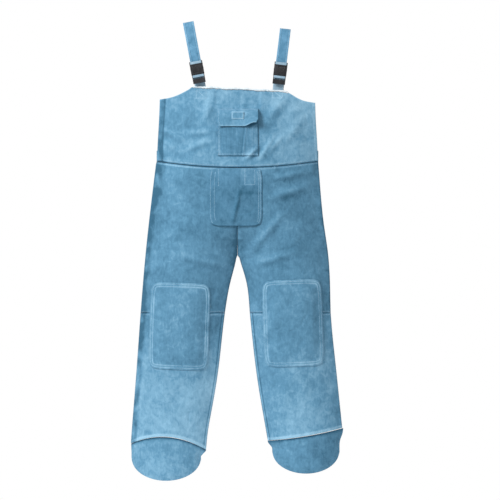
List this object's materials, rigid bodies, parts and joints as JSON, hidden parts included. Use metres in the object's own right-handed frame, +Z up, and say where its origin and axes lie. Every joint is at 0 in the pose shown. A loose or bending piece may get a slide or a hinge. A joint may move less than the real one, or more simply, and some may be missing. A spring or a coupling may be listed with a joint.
{
  "type": "welding apron",
  "caption": "Split-leg leather welding apron with a bib, trouser legs, knee patches, foot covers and buckled shoulder straps.",
  "frame": {"origin": "midway between the tops of the two shoulder straps, where the wearer's shoulders or two pegs hold the apron up", "axes": "+Z up along the body, -Y out of the front, +X towards the wearer's left"},
  "size_m": [0.7467, 0.1581, 1.6141],
  "materials": {
    "suede": "matt split suede, mottled mid blue",
    "patch_suede": "matt split suede, slightly darker",
    "strap_suede": "matt split suede, light at the edges",
    "black_elastic": "woven elastic webbing",
    "hook_and_loop": "black hook-and-loop tape",
    "black_plastic": "moulded, lightly grained",
    "label": "blank stitched label"
  },
  "bodies": {
    "root": {"bib_panel": "suede", "back_waistband": "suede", "crotch_patch": "patch_suede", "chest_pocket": "patch_suede", "pocket_loop_tape": "hook_and_loop", "right_thigh_panel": "suede", "right_seat_panel": "suede", "left_thigh_panel": "suede", "left_seat_panel": "suede", "right_shoulder_strap": "strap_suede", "right_strap_elastic": "black_elastic", "right_strap_tab": "strap_suede", "right_buckle_insert": "black_plastic", "left_shoulder_strap": "strap_suede", "left_strap_elastic": "black_elastic", "left_strap_tab": "strap_suede", "left_buckle_insert": "black_plastic"},
    "chest_flap": {"chest_pocket_flap": "suede", "flap_hook_tape": "hook_and_loop", "flap_label": "label"},
    "right_lower_leg": {"right_shin_panel": "suede", "right_calf_panel": "suede", "right_knee_patch": "patch_suede"},
    "right_foot_guard": {"right_foot_cover": "suede", "right_sole_strap": "black_elastic"},
    "right_socket": {"right_buckle_socket": "black_plastic"},
    "right_outer_prong": {"right_buckle_outer_prong": "black_plastic"},
    "right_inner_prong": {"right_buckle_inner_prong": "black_plastic"},
    "left_lower_leg": {"left_shin_panel": "suede", "left_calf_panel": "suede", "left_knee_patch": "patch_suede"},
    "left_foot_guard": {"left_foot_cover": "suede", "left_sole_strap": "black_elastic"},
    "left_socket": {"left_buckle_socket": "black_plastic"},
    "left_outer_prong": {"left_buckle_outer_prong": "black_plastic"},
    "left_inner_prong": {"left_buckle_inner_prong": "black_plastic"}
  },
  "joints": [
    {"name": "chest_flap_hinge", "type": "hinge", "parent": "root", "child": "chest_flap", "pos_m": [0.001, -0.0395, -0.297], "axis": [-1, 0, 0], "range_deg": [0, 124]},
    {"name": "right_knee_fold", "type": "hinge", "parent": "root", "child": "right_lower_leg", "pos_m": [-0.19, 0.05, -1.012], "axis": [1, 0, 0], "range_deg": [0, 90]},
    {"name": "right_foot_cover_fold", "type": "hinge", "parent": "right_lower_leg", "child": "right_foot_guard", "pos_m": [-0.242, -0.047, -1.444], "axis": [-0.9965, 0, 0.0833], "range_deg": [0, 90]},
    {"name": "right_buckle_release", "type": "slide", "parent": "root", "child": "right_socket", "axis": [-0.1859, 0.0803, 0.9793], "range_m": [0, 0.045]},
    {"name": "right_outer_prong_squeeze", "type": "hinge", "parent": "root", "child": "right_outer_prong", "pos_m": [-0.15224, -0.03495, -0.17871], "axis": [0.015, 0.9968, -0.0789], "range_deg": [0, 9], "stiffness_Nm_per_rad": 0.3},
    {"name": "right_inner_prong_squeeze", "type": "hinge", "parent": "root", "child": "right_inner_prong", "pos_m": [-0.12376, -0.03495, -0.1733], "axis": [-0.015, -0.9968, 0.0789], "range_deg": [0, 9], "stiffness_Nm_per_rad": 0.3},
    {"name": "left_knee_fold", "type": "hinge", "parent": "root", "child": "left_lower_leg", "pos_m": [0.186, 0.05, -1.012], "axis": [1, 0, 0], "range_deg": [0, 90]},
    {"name": "left_foot_cover_fold", "type": "hinge", "parent": "left_lower_leg", "child": "left_foot_guard", "pos_m": [0.237, -0.047, -1.442], "axis": [-0.9862, 0, -0.1656], "range_deg": [0, 90]},
    {"name": "left_buckle_release", "type": "slide", "parent": "root", "child": "left_socket", "axis": [0.1218, 0.0851, 0.9889], "range_m": [0, 0.045]},
    {"name": "left_outer_prong_squeeze", "type": "hinge", "parent": "root", "child": "left_outer_prong", "pos_m": [0.16239, -0.03388, -0.18177], "axis": [0.0104, -0.9964, 0.0845], "range_deg": [0, 9], "stiffness_Nm_per_rad": 0.3},
    {"name": "left_inner_prong_squeeze", "type": "hinge", "parent": "root", "child": "left_inner_prong", "pos_m": [0.13361, -0.03388, -0.17823], "axis": [-0.0104, 0.9964, -0.0845], "range_deg": [0, 9], "stiffness_Nm_per_rad": 0.3}
  ]
}
